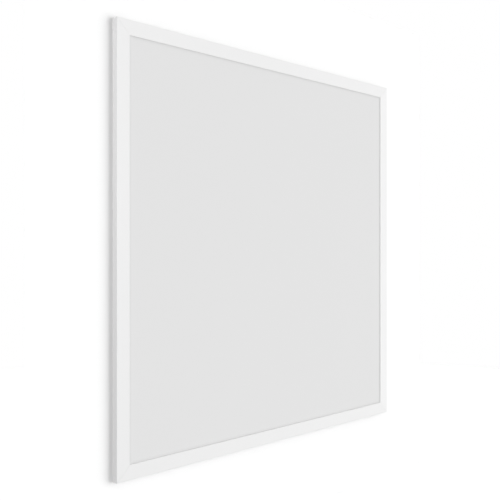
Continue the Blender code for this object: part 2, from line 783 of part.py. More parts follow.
def make_terminal_lid(cover):
    """The flip lid over the terminals, modelled about its hinge axis. The cover's cheeks carry it."""
    pivot = Vector((PIVOT_X, PIVOT_Y, CASE_MIDDLE))
    top, seam, end = CASE_TOP - PIVOT_Y, CASE_RIM + FIT - PIVOT_Y, CASE_RIGHT - PIVOT_X
    under = math.degrees(math.asin((top - CASE_WALL) / BARREL_RADIUS))
    section = [
        *arc((0, 0), BARREL_RADIUS, under, -270, 4 * CORNER_STEPS),
        (end, top),
        (end, seam),
        (end - CASE_WALL, seam),
        (end - CASE_WALL, top - CASE_WALL),
    ]
    lid = piece_of("terminal_lid", flat_outline([section], CASE_WIDTH), CASE_PLASTIC, pivot, carrier=cover)

    sides, notches, stubs, tab = (bmesh.new() for _ in range(4))
    inside = CASE_WIDTH / 2 - CASE_WALL
    cheek = BAY_START + CHEEK_LENGTH + FIT - PIVOT_X
    for side in (-1, 1):
        near, far = sorted((side * inside, side * CASE_WIDTH / 2))
        add_block(sides, (cheek, seam, near), (end - CASE_WALL / 2, top - CASE_WALL / 2, far))
        near, far = sorted((side * (inside - FIT), side * (CASE_WIDTH / 2 + FIT)))
        add_block(notches, (-2 * BARREL_RADIUS, seam - FIT, near), (cheek, top + FIT, far))
        add_round(
            stubs,
            (0, 0, side * (inside - 2 * CASE_WALL)),
            (0, 0, side * (CASE_WIDTH / 2 - FIT)),
            STUB_RADIUS,
            steps=SMALL_ROUND_STEPS,
        )
    add_block(
        tab,
        (end - CASE_WALL / 2, seam, -TAB_WIDTH / 2),
        (end + TAB_REACH, seam + CASE_WALL, TAB_WIDTH / 2),
    )
    join(lid, tool_of("lid_sides", sides, carrier=lid))
    boolean(lid, tool_of("lid_outside", upper_shell(), -pivot, carrier=lid), "INTERSECT")
    cut(lid, tool_of("lid_notches", notches, carrier=lid))
    join(lid, tool_of("lid_stubs", stubs, carrier=lid), tool_of("lid_tab", tab, carrier=lid))


# Circuit board and what it carries


def make_circuit_board():
    board, holes = bmesh.new(), bmesh.new()
    add_block(
        board,
        (CIRCUIT_LEFT, CIRCUIT_BASE, CASE_MIDDLE - CIRCUIT_HALF_WIDTH),
        (CIRCUIT_RIGHT, CIRCUIT_TOP, CASE_MIDDLE + CIRCUIT_HALF_WIDTH),
    )
    for x, z in post_places():
        add_round(
            holes,
            (x, CIRCUIT_BASE - FIT, z),
            (x, CIRCUIT_TOP + FIT, z),
            PIN_RADIUS + FIT,
            steps=SMALL_ROUND_STEPS,
        )
    cut(piece_of("driver_board", board, CIRCUIT_GREEN), tool_of("pin_holes", holes))


def make_transformer(left):
    """A ferrite core with two windows and the coil that fills them round its middle limb."""
    base = CIRCUIT_TOP + SHEET_GAP
    middle = left + TRANSFORMER_LENGTH / 2
    window = (TRANSFORMER_LENGTH - CORE_LIMB) / 2 - CORE_FRAME
    low, high = base + CORE_FRAME, base + TRANSFORMER_HEIGHT - CORE_FRAME
    frame = [
        (left, base),
        (left + TRANSFORMER_LENGTH, base),
        (left + TRANSFORMER_LENGTH, base + TRANSFORMER_HEIGHT),
        (left, base + TRANSFORMER_HEIGHT),
    ]
    windows = []
    for side in (-1, 1):
        near, far = middle + side * CORE_LIMB / 2, middle + side * (CORE_LIMB / 2 + window)
        windows.append([(near, low), (far, low), (far, high), (near, high)])
    core = flat_outline([frame, *windows], CORE_DEPTH)
    piece_of("transformer_core", core, FERRITE, (0, 0, CASE_MIDDLE))

    coil, limb = bmesh.new(), bmesh.new()
    reach_x = CORE_LIMB / 2 + window - FIT
    reach_z = CORE_DEPTH / 2 + window
    add_block(coil, (-reach_x, low + FIT, -reach_z), (reach_x, high - FIT, reach_z))
    hole_x, hole_z = CORE_LIMB / 2 + FIT, CORE_DEPTH / 2 + FIT
    add_block(limb, (-hole_x, low - FIT, -hole_z), (hole_x, high + FIT, hole_z))
    at = (middle, 0, CASE_MIDDLE)
    cut(piece_of("transformer_coil", coil, COIL_TAPE, at), tool_of("limb_hole", limb, at))


def can_mesh(name, radius, length):
    """A capacitor can along Z with rolled ends, standing on Z = 0."""
    roll = radius / 8
    profile = [
        (0.0, length),
        (radius - roll, length),
        (radius, length - roll),
        (radius, roll),
        (radius - roll, 0.0),
        (0.0, 0.0),
    ]
    mesh = turned_mesh(name, profile)
    shade_round(mesh, 60)
    return mesh


def make_board_parts():
    """Parts in a row that share the room between the lead exit and the cover's barrier."""
    base = CIRCUIT_TOP + SHEET_GAP
    upright = (-math.pi / 2, 0, 0)
    choke_reach = CHOKE_RADIUS + CHOKE_WIRE_RADIUS
    lengths = [
        2 * OUTPUT_CAPACITOR_RADIUS,
        TRANSFORMER_LENGTH,
        BULK_CAPACITOR_LENGTH,
        FILM_CAPACITOR_WIDTH,
        2 * choke_reach,
    ]
    start = LEAD_EXIT_X + GROMMET_FLANGE_RADIUS
    spacing = (BAY_START - CASE_WALL - start - sum(lengths)) / (len(lengths) + 1)
    lefts = [start + spacing * (n + 1) + sum(lengths[:n]) for n in range(len(lengths))]

    can = can_mesh("output_capacitor", OUTPUT_CAPACITOR_RADIUS, OUTPUT_CAPACITOR_HEIGHT)
    at = (lefts[0] + OUTPUT_CAPACITOR_RADIUS, base, CASE_MIDDLE)
    place("output_capacitor", can, CAPACITOR_SLEEVE, at, upright)

    make_transformer(lefts[1])

    can = can_mesh("bulk_capacitor", BULK_CAPACITOR_RADIUS, BULK_CAPACITOR_LENGTH)
    at = (lefts[2], base + BULK_CAPACITOR_RADIUS, CASE_MIDDLE)
    place("bulk_capacitor", can, CAPACITOR_SLEEVE, at, (0, math.pi / 2, 0))

    half = FILM_CAPACITOR_LENGTH / 2
    film = soft_block(
        (lefts[3], base, CASE_MIDDLE - half),
        (lefts[3] + FILM_CAPACITOR_WIDTH, base + FILM_CAPACITOR_HEIGHT, CASE_MIDDLE + half),
        FILM_CAPACITOR_WIDTH / 8,
        rounds_top=True,
    )
    piece_of("film_capacitor", film, FILM_BOX)

    loop = arc((CHOKE_RADIUS, CHOKE_WIRE_RADIUS), CHOKE_WIRE_RADIUS, 0, 360, SMALL_ROUND_STEPS)
    ring = turned_mesh("choke", loop)
    shade_round(ring)
    place("choke", ring, COPPER_WIRE, (lefts[4] + choke_reach, base, CASE_MIDDLE), upright)


def make_terminal_block():
    """A push-in block: each pole has a funnelled wire hole towards the cable and a release button."""
    body, holes, funnels, pockets = (bmesh.new() for _ in range(4))
    add_block(
        body,
        (BLOCK_LEFT, BLOCK_BASE, CASE_MIDDLE - BLOCK_HALF_WIDTH),
        (CIRCUIT_RIGHT, BLOCK_TOP, CASE_MIDDLE + BLOCK_HALF_WIDTH),
    )
    block = piece_of("terminal_block", body, BLOCK_PLASTIC)
    button_x = CIRCUIT_RIGHT - BUTTON_SETBACK
    pocket = BUTTON_SIDE / 2 + FIT
    floor = BUTTON_BASE - BUTTON_TRAVEL - FIT
    for pole in range(POLE_COUNT):
        z = CASE_MIDDLE + (pole - (POLE_COUNT - 1) / 2) * POLE_PITCH
        hole_y = BLOCK_BASE + WIRE_HOLE_HEIGHT
        add_round(
            holes,
            (CIRCUIT_RIGHT - WIRE_HOLE_DEPTH, hole_y, z),
            (CIRCUIT_RIGHT + FIT, hole_y, z),
            WIRE_HOLE_RADIUS,
            steps=SMALL_ROUND_STEPS,
        )
        add_round(
            funnels,
            (CIRCUIT_RIGHT - FUNNEL_DEPTH - FIT, hole_y, z),
            (CIRCUIT_RIGHT + FIT, hole_y, z),
            WIRE_HOLE_RADIUS - FIT,
            WIRE_HOLE_RADIUS + FUNNEL_DEPTH + FIT,
            steps=SMALL_ROUND_STEPS,
        )
        add_block(
            pockets,
            (button_x - pocket, floor, z - pocket),
            (button_x + pocket, BLOCK_TOP + FIT, z + pocket),
        )
        side = BUTTON_SIDE / 2
        button = soft_block((-side, 0, -side), (side, BUTTON_HEIGHT, side), side / 4, rounds_top=True)
        at = (button_x, BUTTON_BASE, z)
        piece_of(f"release_button_{pole + 1}", button, BUTTON_PLASTIC, at, carrier=block)
    cut(block, tool_of("wire_holes", holes), tool_of("wire_funnels", funnels))
    cut(block, tool_of("button_pockets", pockets))


# Rubber and leads


def ring_mesh(name, profile, steps=ROUND_STEPS):
    """A ring turned from a closed profile of (radius, height) points."""
    return turned_mesh(name, [*profile, profile[0]], steps)


def make_lead_grommet():
    """A flanged bush in the rear cover, inside the hole in the tray's floor."""
    sleeve = GROMMET_HOLE_RADIUS - FIT
    seat = COVER_REAR + SHEET_GAP - COVER_FRONT
    profile = [
        (GROMMET_BORE_RADIUS, seat + GROMMET_FLANGE),
        (GROMMET_FLANGE_RADIUS, seat + GROMMET_FLANGE),
        (GROMMET_FLANGE_RADIUS, seat),
        (sleeve, seat),
        (sleeve, 0.0),
        (GROMMET_BORE_RADIUS, 0.0),
    ]
    at = (LEAD_EXIT_X, COVER_FRONT, LEAD_EXIT_Z)
    place("lead_grommet", ring_mesh("lead_grommet", profile), BLACK_RUBBER, at, (-math.pi / 2, 0, 0))


def make_cable_entry():
    """A grommet with a flange on each side of the tray's end wall."""
    waist = ENTRY_HOLE_RADIUS - FIT
    inner, outer = -CASE_WALL / 2 - SHEET_GAP, CASE_WALL / 2 + SHEET_GAP
    profile = [
        (ENTRY_BORE_RADIUS, outer + ENTRY_FLANGE),
        (ENTRY_FLANGE_RADIUS, outer + ENTRY_FLANGE),
        (ENTRY_FLANGE_RADIUS, outer),
        (waist, outer),
        (waist, inner),
        (ENTRY_FLANGE_RADIUS, inner),
        (ENTRY_FLANGE_RADIUS, inner - ENTRY_FLANGE),
        (ENTRY_BORE_RADIUS, inner - ENTRY_FLANGE),
    ]
    at = (CASE_RIGHT - CASE_WALL / 2, ENTRY_Y, ENTRY_Z)
    place("cable_entry", ring_mesh("cable_entry", profile), BLACK_RUBBER, at, (0, math.pi / 2, 0))


def make_lead(name, points, material):
    """An insulated wire along a path of (X, Y, Z) points."""
    curve = bpy.data.curves.new(name, "CURVE")
    curve.dimensions = "3D"
    curve.bevel_depth = LEAD_RADIUS
    curve.bevel_resolution = 1
    curve.use_fill_caps = True
    spline = curve.splines.new("POLY")
    spline.points.add(len(points) - 1)
    for knot, point in zip(spline.points, points):
        knot.co = (*point, 1.0)
    lead = piece_of(name, welded_mesh(curve), material)
    shade_round(lead.data, 60)


def make_leads():
    """Both boards in series: one lead links them, one from each goes back to the driver."""
    depth = GUIDE_FRONT + GUIDE_THICKNESS / 2
    pad = HALF - LED_FACE - FIT
    solder = CIRCUIT_BASE - FIT
    for name, side, material in (("positive", -1, RED_LEAD), ("negative", 1, BLACK_LEAD)):
        x = LEAD_EXIT_X + side * LEAD_SPACING / 2
        bend = arc((x + side * LEAD_BEND, depth + LEAD_BEND), LEAD_BEND, -90, -90 - side * 90, 6)
        path = [(side * pad, depth), *bend, (x, solder)]
        make_lead(f"lead_{name}", [(*spot, LEAD_EXIT_Z) for spot in path], material)
    link_z = LEAD_EXIT_Z - LEAD_BRIDGE_DROP
    make_lead("lead_link", [(-pad, depth, link_z), (pad, depth, link_z)], WHITE_LEAD)


DRILL = screw_drill()
make_frame(DRILL)
make_corner_keys(DRILL)
make_led_board("left", -1)
make_led_board("right", 1)
make_sheets()
make_rear_cover(DRILL)
make_screws()
make_case_tray()
make_circuit_board()
make_board_parts()
make_terminal_block()
make_terminal_lid(make_case_cover())
make_lead_grommet()
make_cable_entry()
make_leads()
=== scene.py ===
import math

import bmesh
import bpy
from mathutils import Matrix, Vector


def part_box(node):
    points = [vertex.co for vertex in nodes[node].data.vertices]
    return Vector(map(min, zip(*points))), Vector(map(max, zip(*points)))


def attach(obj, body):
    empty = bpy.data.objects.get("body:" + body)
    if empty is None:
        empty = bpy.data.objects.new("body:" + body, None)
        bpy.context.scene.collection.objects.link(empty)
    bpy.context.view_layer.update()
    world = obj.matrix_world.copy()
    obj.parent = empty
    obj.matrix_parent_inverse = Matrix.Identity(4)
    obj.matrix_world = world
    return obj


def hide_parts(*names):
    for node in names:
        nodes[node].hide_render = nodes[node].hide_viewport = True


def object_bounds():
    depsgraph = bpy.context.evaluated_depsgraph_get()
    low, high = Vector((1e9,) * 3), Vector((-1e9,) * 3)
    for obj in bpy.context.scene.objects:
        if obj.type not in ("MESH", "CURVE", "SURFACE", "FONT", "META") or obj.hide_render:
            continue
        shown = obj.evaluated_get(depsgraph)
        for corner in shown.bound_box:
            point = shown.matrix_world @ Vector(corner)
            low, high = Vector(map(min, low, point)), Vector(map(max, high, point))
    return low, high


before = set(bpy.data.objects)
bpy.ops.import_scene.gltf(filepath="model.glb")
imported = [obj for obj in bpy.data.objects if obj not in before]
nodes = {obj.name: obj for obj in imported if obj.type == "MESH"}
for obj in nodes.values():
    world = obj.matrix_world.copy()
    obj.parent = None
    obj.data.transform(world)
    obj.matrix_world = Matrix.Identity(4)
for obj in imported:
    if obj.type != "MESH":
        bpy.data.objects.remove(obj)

cad_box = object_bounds()


# Frame rails: four lengths of extruded aluminium, mitred at the corners and powder-coated white.
# The coat is satin and dries with a fine orange peel. Its colour drifts very slightly along a rail.

MM = 0.001


class Value:
    """One output of a shader node. Arithmetic on it adds Math nodes."""

    def __init__(self, finish, socket):
        self.finish = finish
        self.socket = socket

    def math(self, operation, *terms):
        return self.finish.node("ShaderNodeMath", {"operation": operation}, dict(enumerate(terms)))

    def __add__(self, other):
        return self.math("ADD", self, other)

    def __radd__(self, other):
        return self.math("ADD", other, self)

    def __sub__(self, other):
        return self.math("SUBTRACT", self, other)

    def __rsub__(self, other):
        return self.math("SUBTRACT", other, self)

    def __mul__(self, other):
        return self.math("MULTIPLY", self, other)

    def __rmul__(self, other):
        return self.math("MULTIPLY", other, self)

    def __truediv__(self, other):
        return self.math("DIVIDE", self, other)

    def __gt__(self, other):
        return self.math("GREATER_THAN", self, other)

    def __lt__(self, other):
        return self.math("LESS_THAN", self, other)

    def __abs__(self):
        return self.math("ABSOLUTE", self)

    def fraction(self):
        return self.math("FRACT", self)

    def root(self):
        return self.math("SQRT", self)

    def least(self, other):
        return self.math("MINIMUM", self, other)

    def most(self, other):
        return self.math("MAXIMUM", self, other)

    def rise(self, low, high):
        """0 below low, 1 above high and a smooth step between."""
        return self.finish.node(
            "ShaderNodeMapRange",
            {"interpolation_type": "SMOOTHSTEP"},
            {"Value": self, "From Min": low, "From Max": high},
        )

    def from_centre(self, pitch):
        """Distance to the nearest of a row of points that lie a pitch apart, one of them at 0."""
        return abs((self / pitch + 0.5).fraction() - 0.5) * pitch


class Finish:
    """The shader nodes of a material or of the world, built up on its main shader."""

    def __init__(self, owner, shader="Principled BSDF", **values):
        owner.use_nodes = True
        self.owner = owner
        self.tree = owner.node_tree
        self.shader = self.tree.nodes[shader]
        self.feed(self.shader, values)

    def feed(self, node, values):
        for name, value in values.items():
            if isinstance(name, str):
                name = name.replace("_", " ").title().replace("Ior", "IOR")
            socket = node.inputs[name]
            if isinstance(value, Value):
                self.tree.links.new(value.socket, socket)
            elif socket.type == "RGBA":
                socket.default_value = (*value, 1.0)
            else:
                socket.default_value = value

    def drive(self, **values):
        self.feed(self.shader, values)

    def node(self, kind, settings=None, values=None, output=0):
        made = self.tree.nodes.new(kind)
        for name, setting in (settings or {}).items():
            setattr(made, name, setting)
        self.feed(made, values or {})
        return Value(self, made.outputs[output])

    def place(self):
        return self.node("ShaderNodeTexCoord", output="Object")

    def axes(self, names="XYZ"):
        place = self.place()
        return [self.node("ShaderNodeSeparateXYZ", {}, {0: place}, axis) for axis in names]

    def noise(self, size, detail=2.0, stretch=(1.0, 1.0, 1.0)):
        """Soft noise whose lumps are about a size across, or longer along an axis by its stretch."""
        scale = tuple(1.0 / (size * times) for times in stretch)
        where = self.node("ShaderNodeMapping", {}, {"Vector": self.place(), "Scale": scale})
        return self.node("ShaderNodeTexNoise", {}, {"Vector": where, "Scale": 1.0, "Detail": detail})

    def cells(self, size, feature="F1", distance="EUCLIDEAN"):
        """Distance, in sizes, to the nearest of scattered points about a size apart, or to the next."""
        settings = {"feature": feature, "distance": distance}
        return self.node("ShaderNodeTexVoronoi", settings, {"Vector": self.place(), "Scale": 1.0 / size})

    def mix(self, share, first, second):
        return self.node("ShaderNodeMix", {"data_type": "RGBA"}, {0: share, 6: first, 7: second}, 2)

    def bump(self, height, depth):
        return self.node("ShaderNodeBump", {}, {"Height": height, "Distance": depth, "Strength": 1.0})


def new_finish(name, **values):
    return Finish(bpy.data.materials.new(name), **values)


def dress(finish, *names):
    """Puts a finish on CAD nodes whose shape stays."""
    for name in names:
        nodes[name].data.materials.clear()
        nodes[name].data.materials.append(finish.owner)


rail_names = ("top_rail", "right_rail", "bottom_rail", "left_rail")
coat = new_finish("white_powder_coat")
peel = coat.noise(2.2 * MM, detail=1.0)
coat.drive(
    base_color=coat.mix(coat.noise(110 * MM), (0.808, 0.808, 0.808), (0.823, 0.823, 0.823)),
    roughness=0.31 + 0.12 * peel,
    normal=coat.bump(peel, 0.012 * MM),
)
dress(coat, *rail_names)


# Corner keys: L-shaped pieces of zinc-plated steel, pushed into the hollow channels of two rails and
# caught by the screws. The plating is pale and faintly blotched.

zinc = new_finish("zinc_plating", metallic=1.0)
blotch = zinc.noise(4 * MM, detail=4.0)
zinc.drive(
    base_color=zinc.mix(blotch, (0.56, 0.575, 0.59), (0.69, 0.69, 0.68)),
    roughness=0.24 + 0.22 * blotch,
    normal=zinc.bump(zinc.noise(0.8 * MM), 0.008 * MM),
)
corners = ("top_right", "bottom_right", "bottom_left", "top_left")
dress(zinc, *(f"corner_key_{corner}" for corner in corners))


# LED boards: strips of white-masked aluminium board on the side rails, each with a row of LEDs that
# shine into the light guide's edge. An LED is a white moulding with a yellow phosphor window.

led_count = 48
led_margin = 9.0 * MM
window_length = 2.3 * MM
window_width = 1.7 * MM
window_depth = 0.1 * MM
track_offset = 2.0 * MM
track_width = 0.7 * MM
guide_low, guide_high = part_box("light_guide")
first_led = guide_low.z + led_margin
led_pitch = (guide_high.z - led_margin - first_led) / (led_count - 1)
led_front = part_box("led_board_right")[0].x

board_mask = new_finish("led_board", roughness=0.4)
x, y, z = board_mask.axes()
across = abs(y - (guide_low.y + guide_high.y) / 2)
along = (z - first_led).from_centre(led_pitch)
window = (along < window_length / 2) * (across < window_width / 2) * (abs(x) < led_front + window_depth)
track = abs(across - track_offset) < track_width / 2
masked = board_mask.mix(track, (0.83, 0.83, 0.8), (0.76, 0.75, 0.68))
board_mask.drive(
    base_color=board_mask.mix(window, masked, (0.82, 0.62, 0.08)),
    roughness=0.35 + 0.3 * window,
    normal=board_mask.bump(track, 0.03 * MM),
)
dress(board_mask, "led_board_left", "led_board_right")


# Heat tape: a thin double-sided strip between each LED board and its rail, filled with a ceramic
# powder that carries the heat. Its skin is matt grey with a fine grain.

tape = new_finish("heat_tape")
powder = tape.noise(0.6 * MM, detail=3.0)
tape.drive(
    base_color=tape.mix(powder, (0.6, 0.62, 0.65), (0.72, 0.74, 0.77)),
    roughness=0.7 + 0.2 * powder,
    normal=tape.bump(powder, 0.02 * MM),
)
dress(tape, "heat_tape_left", "heat_tape_right")


# Diffuser: an opal polystyrene sheet behind the frame's lip, matt on its outer face. It is unlit.
# Along the lip its colour is painted darker over a strip, a painted shade for the lip's shadow in the
# recess.

sight_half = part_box("top_rail")[0].z
painted_shade_width = 5.0 * MM
opal = new_finish("opal_sheet", specular_ior_level=0.12)
x, z = opal.axes("XZ")
from_lip = (sight_half - abs(x)).least(sight_half - abs(z))
grain = opal.noise(0.7 * MM, detail=1.0)
sheet_colour = opal.mix(opal.noise(220 * MM), (0.786, 0.786, 0.786), (0.794, 0.794, 0.794))
opal.drive(
    # The base colour falls to a painted shade over the strip beside the lip.
    base_color=opal.mix(from_lip.rise(0.0, painted_shade_width), (0.73, 0.73, 0.73), sheet_colour),
    roughness=0.55 + 0.1 * grain,
    normal=opal.bump(grain, 0.004 * MM),
)
dress(opal, "diffuser")


# Light guide: a clear acrylic plate that carries the LEDs' light across the panel. White dots printed
# on it turn the light out, and they grow towards the middle, farthest from the LEDs.

dot_pitch = 2.0 * MM
least_dot = 0.35 * MM
most_dot = 0.8 * MM
acrylic = new_finish("clear_acrylic", transmission_weight=0.92, ior=1.49)
x, z = acrylic.axes("XZ")
across, up = x.from_centre(dot_pitch), z.from_centre(dot_pitch)
from_dot = (across * across + up * up).root()
dot_size = most_dot - (most_dot - least_dot) * abs(x) / guide_high.x
dot = from_dot < dot_size
acrylic.drive(
    base_color=acrylic.mix(dot, (0.93, 0.965, 0.96), (0.9, 0.9, 0.89)),
    roughness=0.04 + 0.6 * dot,
)
dress(acrylic, "light_guide")


# Reflector film: a white polyester film behind the guide that sends stray light back to the front.
# It is satin, with faint flow lines from the roll it was cut from.

film = new_finish("reflector_film")
flow = film.noise(3 * MM, detail=3.0, stretch=(1.0, 1.0, 30.0))
film.drive(
    base_color=film.mix(flow, (0.86, 0.87, 0.88), (0.91, 0.91, 0.91)),
    roughness=0.42 + 0.15 * flow,
    normal=film.bump(flow, 0.01 * MM),
)
dress(film, "reflector_film")


# Foam backing: a sheet of soft polyethylene foam that presses the stack against the lip. Its skin shows
# the foam's closed cells.

foam = new_finish("polyethylene_foam", roughness=0.9)
cell = foam.cells(1.3 * MM)
foam.drive(
    base_color=foam.mix(cell, (0.83, 0.83, 0.81), (0.7, 0.7, 0.68)),
    normal=foam.bump(1.0 - cell, 0.25 * MM),
)
dress(foam, "foam_backing")


# Leads: stranded wires in vinyl insulation. Two run from the driver to the LED boards and a third
# links the boards. The insulation is glossy, with a slight unevenness from the extruder.

worn_gain = 1.15
worn_lift = 0.01
for colour_name, insulation in (
    ("positive", (0.55, 0.02, 0.02)),
    ("negative", (0.018, 0.018, 0.02)),
    ("link", (0.76, 0.76, 0.75)),
):
    vinyl = new_finish(f"{colour_name}_lead_vinyl", specular_ior_level=0.5)
    ripple = vinyl.noise(5 * MM, detail=3.0)
    worn = tuple(min(1.0, level * worn_gain + worn_lift) for level in insulation)
    vinyl.drive(
        base_color=vinyl.mix(ripple, insulation, worn),
        roughness=0.28 + 0.2 * ripple,
        normal=vinyl.bump(ripple, 0.02 * MM),
    )
    dress(vinyl, f"lead_{colour_name}")


# Rear cover: a steel sheet, pressed into two pads for the driver case and painted white before it is
# screwed to the frame. Thin sheet is never quite flat, and its paint is thinner than the frame's coat.

buckle_height = 40.0
sheet_paint = new_finish("white_sheet_paint")
buckle = sheet_paint.noise(160 * MM, detail=1.0)
mottle = sheet_paint.noise(1.6 * MM, detail=3.0)
rub = sheet_paint.noise(26 * MM, detail=5.0, stretch=(5.0, 1.0, 1.0)).rise(0.56, 0.75)
sheet_paint.drive(
    base_color=sheet_paint.mix(rub, (0.735, 0.738, 0.742), (0.71, 0.714, 0.72)),
    roughness=0.36 + 0.14 * mottle + 0.1 * rub,
    normal=sheet_paint.bump(buckle * buckle_height + mottle, 0.012 * MM),
)
dress(sheet_paint, "rear_cover")


# Screws: pan-head self-tappers of zinc-plated steel with a cross recess. Sixteen hold the rear cover to
# the frame and two hold the driver case to the cover's pads.

cover_screws = 16
case_screws = 2
head_radius = 2.8 * MM
head_height = 1.3 * MM
top_share = 0.86
dome_drop = 0.14
shank_radius = 1.4 * MM
thread_root = 1.05 * MM
thread_pitch = 0.7 * MM
point_length = 1.2 * MM
tip_share = 0.15
recess_arm = 1.55 * MM
recess_half_width = 0.38 * MM
recess_depth = 0.75 * MM
recess_taper = 0.14 * MM
turn_step = 37.0
case_screw_turn = 20
crease_angle = math.radians(40)

# Rings down a head: their radius and height, as shares of the head's own.
head_rings = ((0.97, 0.66), (1.0, 0.4), (1.0, 0.06), (0.97, 0.0))
# Rings down a turn of thread: their depth, as a share of the pitch, and their radius.
thread_rings = ((0.45, thread_root), (0.7, shank_radius), (0.95, thread_root))


def add_mesh(name, bm, *finishes):
    """Puts a mesh in the scene as a new object."""
    mesh = bpy.data.meshes.new(name)
    bm.to_mesh(mesh)
    bm.free()
    for finish in finishes:
        mesh.materials.append(finish.owner)
    made = bpy.data.objects.new(name, mesh)
    bpy.context.scene.collection.objects.link(made)
    return made


def add_piece(name, bm, body, slot, replaced, *finishes):
    """Makes a mesh a piece of the object that stands for CAD nodes."""
    made = add_mesh(name, bm, *finishes)
    made.data.shade_smooth()
    made.data.set_sharp_from_angle(angle=crease_angle)
    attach(made, body)
    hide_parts(*replaced)
    return made


def draw_ring(bm, rim, radius, height):
    """Carries an open rim on to a new ring of that radius and height. Returns the new rim."""
    grown = bmesh.ops.extrude_edge_only(bm, edges=rim)["geom"]
    for corner in grown:
        if isinstance(corner, bmesh.types.BMVert):
            across = corner.co.xy.normalized() * radius
            corner.co = (*across, height)
    return [edge for edge in grown if isinstance(edge, bmesh.types.BMEdge) and edge.is_boundary]


def cross_head_screw(shank):
    """A screw along Z with the underside of its head at Z = 0."""
    bm = bmesh.new()
    lines = (-head_radius, -recess_arm, -recess_half_width, recess_half_width, recess_arm, head_radius)
    last = len(lines) - 1
    bmesh.ops.create_grid(bm, x_segments=last, y_segments=last, size=last / 2)
    for corner in bm.verts:
        column, row = round(corner.co.x + last / 2), round(corner.co.y + last / 2)
        spot = Vector((lines[column], lines[row]))
        if {column, row} & {0, last}:
            spot = spot.normalized() * head_radius * top_share
        dome = dome_drop * (spot.length / head_radius / top_share) ** 2
        corner.co = (*spot, head_height * (1.0 - dome))
    slots = []
    for face in bm.faces:
        x, y = (abs(value) for value in face.calc_center_median().xy)
        if max(x, y) < recess_arm and min(x, y) < recess_half_width:
            slots.append(face)
    rim = [edge for edge in bm.edges if edge.is_boundary]
    bmesh.ops.inset_region(
        bm, faces=slots, thickness=recess_taper, depth=-recess_depth, use_even_offset=True
    )
    for radius, height in head_rings:
        rim = draw_ring(bm, rim, head_radius * radius, head_height * height)
    rim = draw_ring(bm, rim, thread_root, 0.0)
    turns = int((shank - point_length) / thread_pitch)
    for turn in range(turns):
        top = -thread_pitch * turn
        for share, radius in thread_rings:
            rim = draw_ring(bm, rim, radius, top - share * thread_pitch)
    rim = draw_ring(bm, rim, thread_root, point_length - shank)
    rim = draw_ring(bm, rim, thread_root * tip_share, -shank)
    bmesh.ops.edgeloop_fill(bm, edges=rim)
    bmesh.ops.recalc_face_normals(bm, faces=bm.faces[:])
    return bm


def set_screw(name, turn):
    low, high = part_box(name)
    bm = cross_head_screw(high.y - low.y - head_height)
    at = Matrix.Translation(((low.x + high.x) / 2, high.y - head_height, (low.z + high.z) / 2))
    turned = Matrix.Rotation(math.radians(turn_step * turn), 4, "Y")
    laid = Matrix.Rotation(-math.pi / 2, 4, "X")
    bmesh.ops.transform(bm, matrix=at @ turned @ laid, verts=bm.verts[:])
    add_piece(f"{name}_threaded", bm, "panel", "screw_zinc", [name], zinc)


for number in range(1, cover_screws + 1):
    set_screw(f"cover_screw_{number:02d}", number)
for number in range(1, case_screws + 1):
    set_screw(f"case_screw_{number}", number + case_screw_turn)


# Case tray: the lower half of the driver case, injection-moulded in white polycarbonate, with posts for
# the circuit board and an ear at each end. The outside has the fine spark-eroded grain of its mould.

weld_distance = 0.001 * MM
flat_angle = math.radians(0.5)
edge_angle = math.radians(50)
plastic = new_finish("case_polycarbonate")
erosion = plastic.noise(0.45 * MM, detail=2.0)
plastic.drive(
    base_color=plastic.mix(plastic.noise(60 * MM), (0.79, 0.79, 0.782), (0.81, 0.81, 0.803)),
    roughness=0.42 + 0.14 * erosion,
    normal=plastic.bump(erosion, 0.006 * MM),
)


def softened(name, radius, body, slot, finish, least_edge=0.0, shape=None):
    """A copy of a CAD node with its sharp edges rounded, as moulding and tumbling leave them."""
    bm = bmesh.new()
    bm.from_mesh(nodes[name].data)
    bmesh.ops.remove_doubles(bm, verts=bm.verts[:], dist=weld_distance)
    bmesh.ops.dissolve_limit(bm, angle_limit=flat_angle, verts=bm.verts[:], edges=bm.edges[:])
    edges = [e for e in bm.edges if e.calc_face_angle() > edge_angle and e.calc_length() > least_edge]
    bmesh.ops.bevel(
        bm,
        geom=edges,
        offset=radius,
        offset_type="OFFSET",
        affect="EDGES",
        segments=2,
        profile=0.5,
        material=-1,
        clamp_overlap=True,
    )
    if shape:
        shape(bm)
    made = add_piece(f"{name}_rounded", bm, body, slot, [name], finish)
    made.modifiers.new("level_faces", "WEIGHTED_NORMAL").keep_sharp = True


softened("case_tray", 0.25 * MM, "panel", "case_plastic", plastic, least_edge=3 * MM)


# Circuit board: green glass-epoxy laminate on the tray's posts, which carries the driver's parts. Copper
# shows paler through the lacquer, in areas with square and 45 degree edges. A white line marks the block.

pour_size = 9.0 * MM
pour_gap = 0.07
pad_spacing = 7.5 * MM
pad_size = 0.12
line_offset = 0.7 * MM
line_width = 0.35 * MM
laminate = new_finish("green_laminate")
x, z = laminate.axes("XZ")
nearest = laminate.cells(pour_size, "F1", "CHEBYCHEV")
next_nearest = laminate.cells(pour_size, "F2", "CHEBYCHEV")
copper = next_nearest - nearest > pour_gap
pad = laminate.cells(pad_spacing) < pad_size
low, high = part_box("terminal_block")
middle, half = (low + high) / 2, (high - low) / 2
from_block = (abs(x - middle.x) - half.x).most(abs(z - middle.z) - half.z)
line = abs(from_block - line_offset) < line_width / 2
lacquer = laminate.mix(copper, (0.02, 0.115, 0.045), (0.035, 0.19, 0.075))
marked = laminate.mix(line, lacquer, (0.72, 0.73, 0.7))
laminate.drive(
    base_color=laminate.mix(pad, marked, (0.6, 0.6, 0.58)),
    metallic=1.0 * pad,
    roughness=0.25 + 0.15 * laminate.noise(0.5 * MM) + 0.2 * line,
    normal=laminate.bump(copper + pad, 0.04 * MM),
)
dress(laminate, "driver_board")


